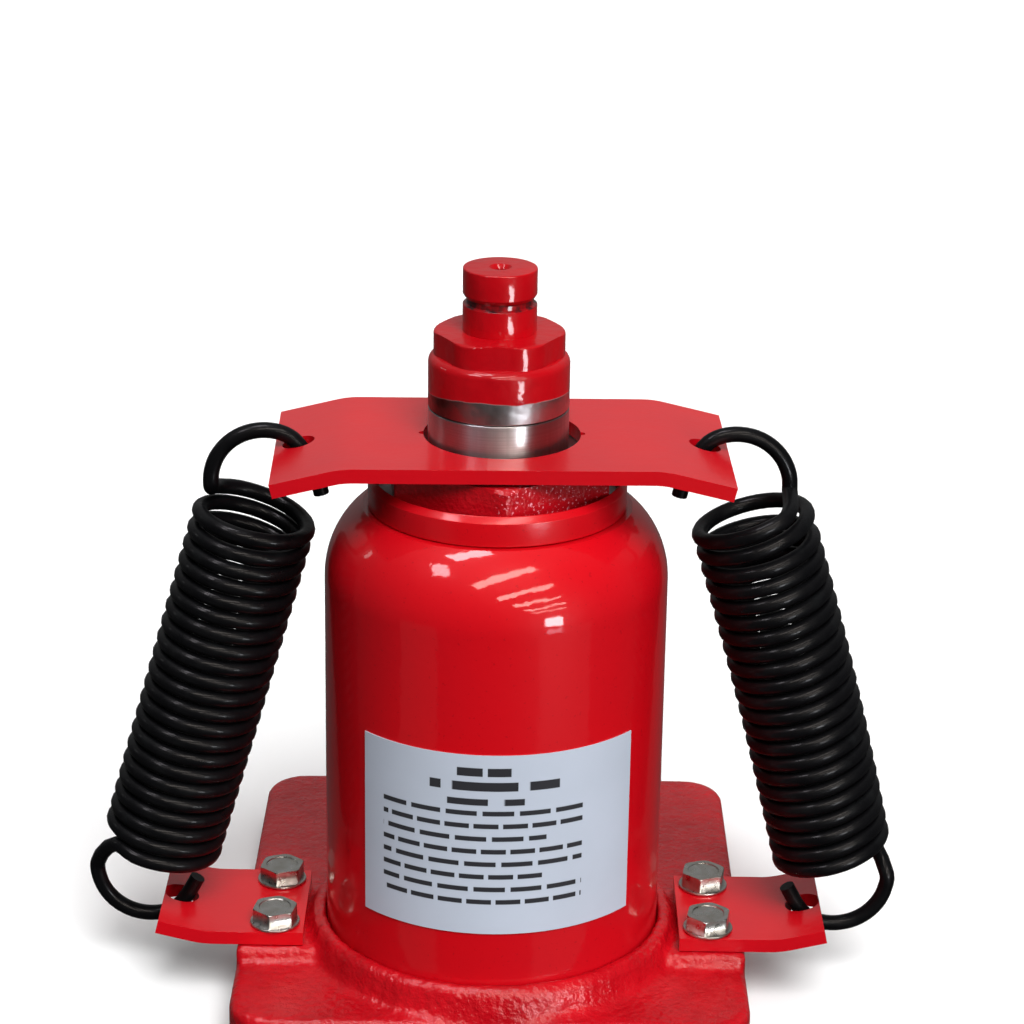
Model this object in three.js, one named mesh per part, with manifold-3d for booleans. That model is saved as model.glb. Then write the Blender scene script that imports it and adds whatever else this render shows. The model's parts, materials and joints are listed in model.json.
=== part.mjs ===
// Hydraulic bottle jack of the 16 tonne class, with a return plate and two return springs.
// Millimetres. +Z is up, the jack's axis is the Z axis, the label faces -Y and the pump is at +Y.
import * as THREE from "three";
import { mergeVertices } from "three/addons/utils/BufferGeometryUtils.js";
import Module from "manifold-3d";

const wasm = await Module();
wasm.setup();

// ---------- Driving dimensions ----------
const GAP = 0.3;
const ROUND = 36;
const SMALL = 16;
const DEG = Math.PI / 180;

const BASE_HALF_WIDTH = 82;
const BASE_FRONT = -62;
const BASE_REAR = 118;
const BASE_THICK = 16;
const BOSS_TOP = 26;
const TANK_FLOOR = 20;
const CYLINDER_SEAT = 16;
const PAD_TOP = 20.7;

const TANK_R = 54;
const TANK_WALL = 3;
const TANK_BOTTOM = 22.3;
const SHOULDER_START = 142;
const SHOULDER_WIDE = 24;
const SHOULDER_TALL = 27.5;
const TANK_TOP = 165.7;
const FILLER_Z = 128;
const LABEL_START = -136.7 * DEG;
const LABEL_END = -38.7 * DEG;
const LABEL_LOW = 43.5;
const LABEL_TOP = 104;

const CYLINDER_R = 37;
const CYLINDER_BORE = 30.3;
const CYLINDER_TOP = 171;
const LOCK_RING_R = 40.4;
const LOCK_RING_TOP = 175.4;
const NUT_CORNER_R = 38;
const NUT_TOP = 183;
const NUT_TURN = 4.5 * DEG;

const RAM_R = 27.5;
const RAM_FOOT = 18.2;
const RAM_SHOULDER = 183.9;
const NECK_R = 21.85;
const NECK_TOP = 197.9;
const HEAD_RING_TOP = 214.8;
const HEXAGON_TOP = 222.1;
const HEXAGON_FLATS = 37.4;
const STUD_R = 11.4;
const STUD_TOP = 242;

const PLATE_BOTTOM = 184.2;
const PLATE_THICK = 4.5;
const PLATE_HALF_LENGTH = 70.3;
const PLATE_WIDTH = 69.8;
const PLATE_HOLE_R = 24.4;
const PLATE_SHIFT = 1.2;
const PLATE_TURN = 1.3 * DEG;
const STRIP_BEND = 13.6 * DEG;
const STRIP_BEND_R = 30;
const PLATE_BEND_X = 48.5;

const BRACKET_START = 60.6;
const BRACKET_BEND_X = 93;
const BRACKET_END = 107.6;
const BRACKET_WIDTH = 44;
const BOLT_X = 70;
const BOLT_Y = 15;

const WIRE_R = 2.35;
const COIL_R = 17;
const LEAD_OUT = 2.5;
const HOOK_R = 17;
const TOP_COIL = { x: 77.4, z: 162, shift: 1.6 };
const BOTTOM_COIL = { x: 109.2, z: 47.8, shift: 0.9 };
const TOP_HOOK = { x: 73.2, z: 172, shift: 1.0 };
const BOTTOM_HOOK = { x: 112, z: 37.4, shift: 0 };
const PLATE_HOOK_HOLE = 63;
const BRACKET_HOOK_HOLE = 101.8;

const PUMP_Y = 92;
const PUMP_TOP = 72;
const PLUNGER_EYE = 90;
const LEVER = 26;
const LINK_FOOT = 34;
const RELEASE_X = 26;
const RELEASE_Z = 11;

// ---------- Finishes ----------
const FINISHES = {
  red_paint: { color: 0xc4060f, roughness: 0.28, metalness: 0.1 },
  cast_red: { color: 0xa80710, roughness: 0.45, metalness: 0.1 },
  bright_steel: { color: 0x9a9a9a, roughness: 0.3, metalness: 1 },
  dark_steel: { color: 0x4b4d50, roughness: 0.45, metalness: 0.9 },
  zinc: { color: 0xb9bcc0, roughness: 0.35, metalness: 1 },
  black_spring: { color: 0x101112, roughness: 0.35, metalness: 0.4 },
  rubber: { color: 0x161616, roughness: 0.7, metalness: 0 },
  urethane: { color: 0x2d4f8a, roughness: 0.5, metalness: 0 },
  copper: { color: 0xb4683a, roughness: 0.4, metalness: 1 },
  label: { color: 0xd8e0ea, roughness: 0.5, metalness: 0 },
};

// ---------- Geometry helpers ----------
function solidOf(geometry) {
  const plain = geometry.clone();
  plain.deleteAttribute("normal");
  plain.deleteAttribute("uv");
  const merged = mergeVertices(plain, 1e-4);
  const index = merged.index.array;
  const triangles = [];
  for (let i = 0; i < index.length; i += 3) {
    const [a, b, c] = [index[i], index[i + 1], index[i + 2]];
    if (a !== b && b !== c && c !== a) {
      triangles.push(a, b, c);
    }
  }
  return new wasm.Manifold(new wasm.Mesh({
    numProp: 3,
    vertProperties: Float32Array.from(merged.attributes.position.array),
    triVerts: Uint32Array.from(triangles),
  }));
}

function geometryOf(solid) {
  const mesh = solid.asOriginal().simplify(0.02).getMesh();
  const geometry = new THREE.BufferGeometry();
  geometry.setAttribute("position", new THREE.BufferAttribute(Float32Array.from(mesh.vertProperties), 3));
  geometry.setIndex(new THREE.BufferAttribute(Uint32Array.from(mesh.triVerts), 1));
  geometry.computeVertexNormals();
  return geometry;
}

function join(...geometries) {
  return geometryOf(geometries.map(solidOf).reduce((sum, next) => sum.add(next)));
}

function cut(body, ...tools) {
  return geometryOf(tools.map(solidOf).reduce((rest, next) => rest.subtract(next), solidOf(body)));
}

function common(a, b) {
  return geometryOf(solidOf(a).intersect(solidOf(b)));
}

// A turned piece about Z from [radius, z] pairs. A profile off the axis closes into a ring.
function turned(profile, facets = ROUND) {
  const points = profile.map(([r, z]) => new THREE.Vector2(r, z));
  const closed = points[0].x > 0;
  if (THREE.ShapeUtils.area(points) < 0) {
    points.reverse();
  }
  if (closed) {
    points.push(points[0].clone());
  }
  return new THREE.LatheGeometry(points, facets).rotateX(Math.PI / 2);
}

function tube(inner, outer, low, high, facets = ROUND) {
  return turned([[inner, low], [outer, low], [outer, high], [inner, high]], facets);
}

// A round bar along "x", "y" or "z", centred on the other two axes.
function bar(axis, radius, low, high, facets = SMALL) {
  const geometry = new THREE.CylinderGeometry(radius, radius, high - low, facets);
  geometry.translate(0, (low + high) / 2, 0);
  if (axis === "z") {
    geometry.rotateX(Math.PI / 2);
  }
  if (axis === "x") {
    geometry.rotateZ(-Math.PI / 2);
  }
  return geometry;
}

function block(lowX, lowY, lowZ, highX, highY, highZ) {
  const geometry = new THREE.BoxGeometry(highX - lowX, highY - lowY, highZ - lowZ);
  return geometry.translate((lowX + highX) / 2, (lowY + highY) / 2, (lowZ + highZ) / 2);
}

function prism(shape, low, high, curveSegments = 6) {
  const options = { depth: high - low, bevelEnabled: false, curveSegments };
  return new THREE.ExtrudeGeometry(shape, options).translate(0, 0, low);
}

function hexagon(flats, low, high) {
  const radius = flats / 2 / Math.cos(30 * DEG);
  return turned([[0, low], [radius, low], [radius, high], [0, high]], 6);
}

// ---------- Casting ----------
function roundedSlab() {
  const round = 14;
  const edge = 1.5;
  const x = BASE_HALF_WIDTH;
  const shape = new THREE.Shape();
  shape.moveTo(-x + round, BASE_FRONT);
  shape.absarc(x - round, BASE_FRONT + round, round, -90 * DEG, 0, false);
  shape.absarc(x - round, BASE_REAR - round, round, 0, 90 * DEG, false);
  shape.absarc(-x + round, BASE_REAR - round, round, 90 * DEG, 180 * DEG, false);
  shape.absarc(-x + round, BASE_FRONT + round, round, 180 * DEG, 270 * DEG, false);
  const options = {
    depth: BASE_THICK - 2 * edge,
    bevelThickness: edge,
    bevelSize: edge,
    bevelOffset: -edge,
    bevelSegments: 1,
    curveSegments: 6,
  };
  return new THREE.ExtrudeGeometry(shape, options).translate(0, 0, edge);
}

function linkLug(side) {
  const shape = new THREE.Shape();
  const half = 8;
  shape.moveTo(-half, BASE_THICK - 2 - LINK_FOOT);
  shape.lineTo(half, BASE_THICK - 2 - LINK_FOOT);
  shape.absarc(0, 0, half, 0, 180 * DEG, false);
  const lug = prism(shape, -3.5, 3.5).rotateX(90 * DEG).rotateZ(90 * DEG);
  return lug.translate(side * 10, PUMP_Y - LEVER, LINK_FOOT);
}

function baseCasting() {
  const tankBoss = turned([[0, 10], [61.5, 10], [61.5, 16], [59, 24.5], [57.5, BOSS_TOP], [0, BOSS_TOP]]);
  const pumpBoss = turned([[0, 10], [19, 10], [18, 39], [17, 40], [0, 40]], 24).translate(0, PUMP_Y, 0);
  const valveBoss = bar("y", 10, 50, 122).translate(RELEASE_X, 0, RELEASE_Z);
  const pads = [-1, 1].map((side) => {
    return block(-12, -24, 10, 12, 24, PAD_TOP).translate(side * BOLT_X, 0, 0);
  });
  const body = join(roundedSlab(), tankBoss, pumpBoss, valveBoss, ...pads, linkLug(-1), linkLug(1));
  const tankRecess = bar("z", TANK_R + 0.4, TANK_FLOOR, 60, ROUND);
  const cylinderRecess = bar("z", CYLINDER_R + 0.4, CYLINDER_SEAT, 60, ROUND);
  const boltHoles = [-1, 1].flatMap((side) => [-BOLT_Y, BOLT_Y].map((y) => {
    return bar("z", 4.3, 8, 40, 10).translate(side * BOLT_X, y, 0);
  }));
  const linkPinHole = bar("x", 3.8, -30, 30).translate(0, PUMP_Y - LEVER, LINK_FOOT);
  const passages = [...pumpPassages(), ...releasePassages()];
  return cut(body, tankRecess, cylinderRecess, linkPinHole, ...boltHoles, ...passages);
}

function pumpPassages() {
  return [
    bar("z", 10.3, 18, 60).translate(0, PUMP_Y, 0),
    bar("z", 7, 12, 30).translate(0, PUMP_Y, 0),
    bar("z", 2, 6, 30, 8).translate(0, PUMP_Y, 0),
    bar("y", 2, 22, 150, 8).translate(0, 0, 6),
    bar("y", 3.9, 108, 150, 10).translate(0, 0, 6),
    bar("z", 2, 6, 30, 8).translate(0, 22, 0),
    bar("z", 4.4, 8.4, 30, 12).translate(0, 22, 0),
    bar("y", 2.5, 46, 150, 8).translate(9, 0, 11),
    bar("y", 3.9, 78, 150, 12).translate(9, 0, 11),
    bar("z", 2.5, 11, 30, 8).translate(9, 46, 0),
  ];
}

function releasePassages() {
  return [
    bar("y", 6.3, 38, 150).translate(RELEASE_X, 0, RELEASE_Z),
    bar("y", 2, 12, 60, 8).translate(RELEASE_X, 0, RELEASE_Z),
    bar("z", 2, RELEASE_Z, 30, 8).translate(RELEASE_X, 12, 0),
    bar("z", 2.5, RELEASE_Z, 30, 8).translate(RELEASE_X, 42, 0),
  ];
}

// ---------- Tank, cylinder and gland ----------
function shoulder(inset, steps, end) {
  const wide = SHOULDER_WIDE - inset;
  const tall = SHOULDER_TALL - inset;
  const last = Math.asin((end - SHOULDER_START) / tall);
  const points = [];
  for (let i = 0; i <= steps; i += 1) {
    const angle = (last * i) / steps;
    const r = TANK_R - SHOULDER_WIDE + wide * Math.cos(angle);
    points.push([r, SHOULDER_START + tall * Math.sin(angle)]);
  }
  return points;
}

function tankShell() {
  const neckBore = CYLINDER_R + 0.5;
  const outside = [[TANK_R, TANK_BOTTOM], ...shoulder(0, 7, TANK_TOP), [neckBore, TANK_TOP]];
  const inside = [...shoulder(TANK_WALL, 4, TANK_TOP - TANK_WALL)].reverse();
  const wall = turned([...outside, [neckBore, TANK_TOP - TANK_WALL], ...inside,
    [TANK_R - TANK_WALL, TANK_BOTTOM]]);
  return cut(wall, bar("y", 4.6, 30, 80).translate(0, 0, FILLER_Z));
}

function cylinder() {
  return tube(CYLINDER_BORE, CYLINDER_R, CYLINDER_SEAT + 2.1, CYLINDER_TOP);
}

function tankLockRing() {
  const recess = NUT_CORNER_R + 0.45;
  return turned([[CYLINDER_R + GAP, TANK_TOP + GAP], [LOCK_RING_R, TANK_TOP + GAP],
    [LOCK_RING_R, LOCK_RING_TOP - 1.8], [LOCK_RING_R - 1.3, LOCK_RING_TOP], [recess, LOCK_RING_TOP],
    [recess, CYLINDER_TOP], [CYLINDER_R + GAP, CYLINDER_TOP]]);
}

function glandNut() {
  const low = CYLINDER_TOP + GAP;
  const round = turned([[0, low], [NUT_CORNER_R, low], [NUT_CORNER_R, NUT_TOP - 1.2],
    [NUT_CORNER_R - 2.2, NUT_TOP], [0, NUT_TOP]]);
  const flats = 2 * NUT_CORNER_R * Math.cos(30 * DEG) + 0.3;
  const head = common(round, hexagon(flats, low - 1, NUT_TOP + 1).rotateZ(NUT_TURN));
  const spigot = bar("z", CYLINDER_BORE - 0.4, 160, low + 1, ROUND);
  return cut(join(head, spigot), bar("z", RAM_R + 0.4, 150, 190, ROUND),
    bar("z", 31.6, 173.4, 177.6, ROUND), bar("z", 31.1, 179.3, 190, ROUND));
}

function fillerPlug() {
  const profile = [[0, 0], [3.4, 0], [5.2, 2.5], [5.2, 3.6], [4.2, 4.2], [4.2, 8.6], [8, 8.6], [8, 11.2],
    [6.6, 12.5], [0, 12.5]];
  return turned(profile, SMALL).rotateX(-90 * DEG);
}

function frontLabel() {
  const inner = TANK_R + 0.15;
  const shape = new THREE.Shape();
  shape.absarc(0, 0, inner + 0.3, LABEL_START, LABEL_END, false);
  shape.absarc(0, 0, inner, LABEL_END, LABEL_START, true);
  return prism(shape, LABEL_LOW, LABEL_TOP, 15);
}

// ---------- Ram ----------
function ram() {
  return turned([[0, RAM_FOOT], [11, RAM_FOOT], [11, 32], [RAM_R, 32], [RAM_R, RAM_SHOULDER - 0.8],
    [RAM_R - 0.8, RAM_SHOULDER], [NECK_R, RAM_SHOULDER], [NECK_R, NECK_TOP], [8.7, NECK_TOP], [8.7, 178],
    [0, 178]]);
}

function pistonCup() {
  return turned([[11.3, 20.4], [23, 20.4], [25, 23.4], [28, 20.4], [CYLINDER_BORE - 0.25, 20.4],
    [CYLINDER_BORE - 0.4, 24.7], [11.3, 24.7]]);
}

function pistonNut() {
  return cut(hexagon(29, 18.6, 20.1), bar("z", 11.3, 10, 30));
}

function headAdapter() {
  const round = 1.4;
  const ring = turned([[0, NECK_TOP + GAP], [NECK_R, NECK_TOP + GAP], [NECK_R, HEAD_RING_TOP - round],
    [NECK_R - 0.4, HEAD_RING_TOP - 0.4], [NECK_R - round, HEAD_RING_TOP], [0, HEAD_RING_TOP]]);
  const chamfered = turned([[0, HEAD_RING_TOP - 1], [20.4, HEAD_RING_TOP - 1], [20.4, HEXAGON_TOP - 0.7],
    [19.6, HEXAGON_TOP], [0, HEXAGON_TOP]]);
  const flats = hexagon(HEXAGON_FLATS, HEAD_RING_TOP - 2, HEXAGON_TOP + 1).rotateZ(90 * DEG);
  const hex = common(chamfered, flats);
  const stud = turned([[0, HEXAGON_TOP - 1], [STUD_R, HEXAGON_TOP - 1], [STUD_R, 230.4], [10.4, 230.8],
    [10.4, 232.4], [STUD_R, 233.9], [STUD_R, STUD_TOP - 0.5], [STUD_R - 0.5, STUD_TOP], [3.4, STUD_TOP],
    [2.6, STUD_TOP - 1.2], [2.6, 234], [0, 232.6]], 24);
  const spigot = bar("z", 8.3, 180, NECK_TOP + 2);
  return join(ring, hex, stud, spigot);
}

// ---------- Bent strips: the return plate and the spring brackets ----------
// Centre line of a strip that starts level at x = start and bends by turn * STRIP_BEND near x = bendAt.
function bentLine(start, bendAt, end, turn) {
  const steps = 4;
  const line = [{ x: start, z: 0, slope: 0 }];
  for (let i = 0; i <= steps; i += 1) {
    const part = (STRIP_BEND * i) / steps;
    const x = bendAt - STRIP_BEND_R * Math.tan(STRIP_BEND / 2) + STRIP_BEND_R * Math.sin(part);
    line.push({ x, z: turn * STRIP_BEND_R * (1 - Math.cos(part)), slope: turn * part });
  }
  const last = line.at(-1);
  const rise = (end - last.x) * Math.tan(turn * STRIP_BEND);
  line.push({ x: end, z: last.z + rise, slope: turn * STRIP_BEND });
  return line;
}

function strip(line, width) {
  const half = PLATE_THICK / 2;
  const edge = (sign) => line.map(({ x, z, slope }) => {
    return new THREE.Vector2(x - sign * half * Math.sin(slope), z + sign * half * Math.cos(slope));
  });
  const shape = new THREE.Shape([...edge(-1), ...edge(1).reverse()]);
  return prism(shape, -width / 2, width / 2).rotateX(90 * DEG).translate(0, 0, half);
}

function returnPlate() {
  const right = bentLine(0, PLATE_BEND_X, PLATE_HALF_LENGTH - 0.5, -1);
  const left = right.slice(1).reverse().map(({ x, z, slope }) => ({ x: -x, z, slope: -slope }));
  const body = strip([...left, ...right.slice(1)], PLATE_WIDTH);
  const hookHoles = [-1, 1].map((side) => bar("z", 5, -20, 20).translate(side * PLATE_HOOK_HOLE, 0, 0));
  const notches = [-1, 1].map((side) => bar("z", 1.4, -20, 20, 8).translate(side * PLATE_HOLE_R, 0, 0));
  return cut(body, bar("z", PLATE_HOLE_R, -20, 20, ROUND), ...hookHoles, ...notches);
}

function springBracket() {
  const body = strip(bentLine(BRACKET_START, BRACKET_BEND_X, BRACKET_END, 1), BRACKET_WIDTH);
  const boltHoles = [-BOLT_Y, BOLT_Y].map((y) => bar("z", 4.4, -20, 20).translate(BOLT_X, y, 0));
  return cut(body, bar("z", 5.6, -20, 20).translate(BRACKET_HOOK_HOLE, 0, 0), ...boltHoles);
}

function bracketBolt() {
  const washerFace = bar("z", 8, 0, 0.6);
  const chamfered = turned([[0, -1], [7.6, -1], [7.6, 4.9], [6.6, 5.6], [0, 5.6]], 12);
  return join(washerFace, common(hexagon(13, 0, 5.6), chamfered), bar("z", 3.9, -16, 1, 10));
}

// ---------- Return springs ----------
// Hook outline beside its circle's centre: [inboard, beyond the coil].
function hookOutline(tipLength) {
  const points = [];
  for (let angle = -4; angle <= 108; angle += 16) {
    points.push([-HOOK_R * Math.cos(angle * DEG), HOOK_R * Math.sin(angle * DEG)]);
  }
  const tip = [[8.9, 14.1], [12.4, 9.6], [15.6, 3.7], [17.2, -2.3]];
  return [...points, ...tip.slice(0, tipLength)];
}

function hookPoints(side, hook, up, tipLength, y) {
  return hookOutline(tipLength).map(([inboard, beyond]) => {
    return new THREE.Vector3(side * (hook.x - inboard) + hook.shift, y, hook.z + up * beyond);
  });
}

function coilPoints(side, start, turns) {
  const top = new THREE.Vector3(side * TOP_COIL.x + TOP_COIL.shift, 0, TOP_COIL.z);
  const bottom = new THREE.Vector3(side * BOTTOM_COIL.x + BOTTOM_COIL.shift, 0, BOTTOM_COIL.z);
  const down = bottom.clone().sub(top).normalize();
  const rear = new THREE.Vector3(0, 1, 0);
  const outward = down.clone().cross(rear).multiplyScalar(side);
  const perTurn = 12;
  const count = Math.round(turns * perTurn);
  const points = [];
  for (let i = 0; i <= count; i += 1) {
    const turn = (turns * i) / count;
    const angle = start - side * turn * 2 * Math.PI;
    const lead = LEAD_OUT * Math.max(0, 1 - turn / 0.75) ** 2;
    const centre = top.clone().lerp(bottom, turn / turns).addScaledVector(down, -lead);
    centre.addScaledVector(outward, COIL_R * Math.cos(angle));
    points.push(centre.addScaledVector(rear, COIL_R * Math.sin(angle)));
  }
  return points;
}

function returnSpring(side) {
  const start = side < 0 ? 35 * DEG : -50 * DEG;
  const turns = side < 0 ? 20.806 : 20.722;
  const hookY = side * PLATE_HOOK_HOLE * Math.sin(PLATE_TURN);
  const upper = hookPoints(side, TOP_HOOK, 1, 4, hookY).reverse();
  const lower = hookPoints(side, BOTTOM_HOOK, -1, 3, 0);
  const path = new THREE.CatmullRomCurve3([...upper, ...coilPoints(side, start, turns), ...lower], false,
    "centripetal");
  path.arcLengthDivisions = 3000;
  const section = new THREE.Shape();
  const sides = 5;
  for (let i = 0; i < sides; i += 1) {
    const angle = (i * 360 * DEG) / sides;
    const place = i === 0 ? "moveTo" : "lineTo";
    section[place](WIRE_R * Math.cos(angle), WIRE_R * Math.sin(angle));
  }
  return new THREE.ExtrudeGeometry(section, { steps: 205, extrudePath: path, bevelEnabled: false });
}

// ---------- Pump ----------
function pumpCylinder() {
  const shank = bar("z", 9.9, 20.3, 42);
  const hex = hexagon(30, 40.3, 49);
  const barrel = turned([[0, 48], [14, 48], [14, PUMP_TOP - 1.5], [12.5, PUMP_TOP], [0, PUMP_TOP]], 24);
  return cut(join(shank, hex, barrel), bar("z", 6.8, 10, 90));
}

function pumpPlunger() {
  const stem = turned([[0, 21], [6.5, 21], [6.5, 25.8], [4.8, 25.8], [4.8, 29.2], [6.5, 29.2],
    [6.5, PLUNGER_EYE], [0, PLUNGER_EYE]], SMALL);
  const eye = bar("x", 8.5, -6.2, 6.2, 24).translate(0, 0, PLUNGER_EYE);
  const sides = block(-6.2, -20, 0, 6.2, 20, 120);
  return cut(common(join(stem, eye), sides), bar("x", 4.3, -20, 20).translate(0, 0, PLUNGER_EYE));
}

function headedPin(radius, half) {
  const grip = bar("x", radius, -half, half + 4);
  const head = bar("x", radius + 2, -half - 2.5, -half);
  const groove = tube(radius - 0.9, radius + 2, -0.8, 0.8, SMALL).rotateY(90 * DEG);
  return cut(join(grip, head), groove.translate(half + 1.4, 0, 0));
}

function pinClip(radius) {
  const ring = tube(radius - 0.6, radius + 2.2, -0.5, 0.5, SMALL);
  return cut(ring, block(0, -radius * 0.7, -2, radius + 5, radius * 0.7, 2)).rotateY(90 * DEG);
}

function handleSocket() {
  const cheek = new THREE.Shape();
  cheek.moveTo(15, 9);
  cheek.absarc(-LEVER, 0, 9, 90 * DEG, 270 * DEG, false);
  cheek.lineTo(15, -9);
  const frame = prism(cheek, -12, 12).rotateX(90 * DEG).rotateZ(90 * DEG);
  const neck = turned([[0, 10], [11, 10], [15.5, 20], [15.5, 82], [0, 82]], 24).rotateX(-90 * DEG);
  const body = join(frame, neck);
  const yoke = block(-6.5, -50, -20, 6.5, 9.6, 20);
  const mouth = turned([[0, 22], [11.5, 22], [11.5, 80.5], [13, 82.5], [0, 82.5]], 24).rotateX(-90 * DEG);
  const linkHole = bar("x", 3.8, -20, 20).translate(0, -LEVER, 0);
  return cut(body, yoke, mouth, bar("x", 4.3, -20, 20), linkHole);
}

function pumpLink() {
  const length = PLUNGER_EYE - LINK_FOOT;
  const shape = new THREE.Shape();
  shape.moveTo(-5.5, 5);
  shape.absarc(0, length, 7, 218 * DEG, -38 * DEG, true);
  shape.absarc(0, 0, 7, 38 * DEG, -218 * DEG, true);
  const body = prism(shape, -6, 6, 8).rotateX(90 * DEG).rotateZ(90 * DEG);
  return cut(body, bar("x", 3.8, -20, 20), bar("x", 4.4, -20, 20).translate(0, 0, length));
}

// ---------- Release valve, balls and plugs ----------
function releaseSpindle() {
  const profile = [[0, 45.6], [3, 45.6], [6, 49], [6, 110], [4.7, 110], [4.7, 113], [6, 113], [6, 124],
    [8, 125], [8, 133], [7, 134], [0, 134]];
  const slot = block(-9, 129, -2, 9, 140, 2);
  return cut(turned(profile, 24).rotateX(-90 * DEG), slot);
}

function ball(radius) {
  return new THREE.SphereGeometry(radius, 10, 7);
}

function socketPlug() {
  return cut(bar("y", 3.6, 0, 8), hexagon(3.2, 4, 10).rotateX(-90 * DEG));
}

// ---------- The assembly ----------
function add(parent, name, geometry, finish, x = 0, y = 0, z = 0) {
  const mesh = new THREE.Mesh(geometry, new THREE.MeshStandardMaterial(FINISHES[finish]));
  mesh.name = name;
  mesh.position.set(x, y, z);
  parent.add(mesh);
  return mesh;
}

function addBase(jack) {
  add(jack, "base_casting", baseCasting(), "cast_red");
  for (const [name, side] of [["left", -1], ["right", 1]]) {
    const bracket = add(jack, `${name}_spring_bracket`, springBracket(), "red_paint", 0, 0, PAD_TOP + GAP);
    bracket.rotation.z = side < 0 ? Math.PI : 0;
    for (const [place, y] of [["front", -BOLT_Y], ["rear", BOLT_Y]]) {
      const top = PAD_TOP + PLATE_THICK + 2 * GAP;
      add(jack, `${name}_${place}_bracket_bolt`, bracketBolt(), "zinc", side * BOLT_X, y, top);
    }
  }
  add(jack, "delivery_ball", ball(3.6), "bright_steel", 0, 22, 11.6);
  add(jack, "delivery_keeper", tube(1.5, 4.1, 15.5, 16.5, 12), "dark_steel", 0, 22, 0);
  add(jack, "delivery_plug", socketPlug(), "dark_steel", 0, 109.5, 6);
  add(jack, "suction_ball", ball(3.4), "bright_steel", 9, 81.7, 11);
  add(jack, "suction_plug", socketPlug(), "dark_steel", 9, 109.5, 11);
}

function addTank(jack) {
  add(jack, "cylinder", cylinder(), "bright_steel");
  const gasket = tube(CYLINDER_BORE + 0.4, CYLINDER_R - 0.2, CYLINDER_SEAT + GAP, CYLINDER_SEAT + 1.8);
  add(jack, "cylinder_gasket", gasket, "copper");
  add(jack, "tank_shell", tankShell(), "red_paint");
  add(jack, "tank_base_gasket", tube(51.1, 53.8, TANK_FLOOR + GAP, TANK_BOTTOM - GAP), "rubber");
  add(jack, "tank_lock_ring", tankLockRing(), "red_paint");
  add(jack, "gland_nut", glandNut(), "cast_red");
  add(jack, "rod_seal", tube(RAM_R + 0.2, 31.2, 173.7, 177.3), "urethane");
  add(jack, "wiper_seal", tube(RAM_R + 0.2, 30.8, 179.6, 183.5), "rubber");
  add(jack, "filler_plug", fillerPlug(), "rubber", 0, 46, FILLER_Z);
  add(jack, "front_label", frontLabel(), "label");
  add(jack, "left_return_spring", returnSpring(-1), "black_spring");
  add(jack, "right_return_spring", returnSpring(1), "black_spring");
}

function addRam(jack) {
  add(jack, "ram", ram(), "bright_steel");
  add(jack, "ram_piston", tube(11.3, CYLINDER_BORE - 0.35, 25, 31.7), "dark_steel");
  add(jack, "piston_cup", pistonCup(), "urethane");
  add(jack, "piston_nut", pistonNut(), "dark_steel");
  add(jack, "head_adapter", headAdapter(), "red_paint");
  const plate = add(jack, "return_plate", returnPlate(), "red_paint", PLATE_SHIFT, 0, PLATE_BOTTOM);
  plate.rotation.z = PLATE_TURN;
}

function addPump(jack) {
  const pump = new THREE.Group();
  pump.position.set(0, PUMP_Y, 0);
  jack.add(pump);
  add(pump, "pump_cylinder", pumpCylinder(), "dark_steel");
  add(pump, "pump_washer", tube(7.4, 9.9, 18.3, 20, 24), "copper");
  add(pump, "pump_plunger", pumpPlunger(), "bright_steel");
  add(pump, "plunger_seal", tube(5.1, 6.7, 26.1, 28.9, SMALL), "rubber");
  add(pump, "pump_link", pumpLink(), "dark_steel", 0, -LEVER, LINK_FOOT);
  add(pump, "handle_socket", handleSocket(), "cast_red", 0, 0, PLUNGER_EYE);
  const pins = [
    ["plunger_pin", 4, 12.4, 0, PLUNGER_EYE],
    ["link_top_pin", 3.5, 12.4, -LEVER, PLUNGER_EYE],
    ["link_base_pin", 3.5, 13.9, -LEVER, LINK_FOOT],
  ];
  for (const [name, radius, half, y, z] of pins) {
    add(pump, name, headedPin(radius, half), "zinc", 0, y, z);
    add(pump, `${name}_clip`, pinClip(radius), "zinc", half + 1.4, y, z);
  }
}

function addReleaseValve(jack) {
  add(jack, "release_spindle", releaseSpindle(), "zinc", RELEASE_X, 0, RELEASE_Z);
  const ring = tube(5, 6.1, -1.1, 1.1, 24).rotateX(90 * DEG);
  add(jack, "release_o_ring", ring, "rubber", RELEASE_X, 111.5, RELEASE_Z);
  add(jack, "release_ball", ball(3.4), "bright_steel", RELEASE_X, 41.6, RELEASE_Z);
}

const jack = new THREE.Group();
addBase(jack);
addTank(jack);
addRam(jack);
addPump(jack);
addReleaseValve(jack);

export default jack;
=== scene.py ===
"""Looks of a bottle jack with a return plate and two return springs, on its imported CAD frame."""
import json
import math

import bmesh
import bpy
from mathutils import Matrix, Vector

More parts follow.
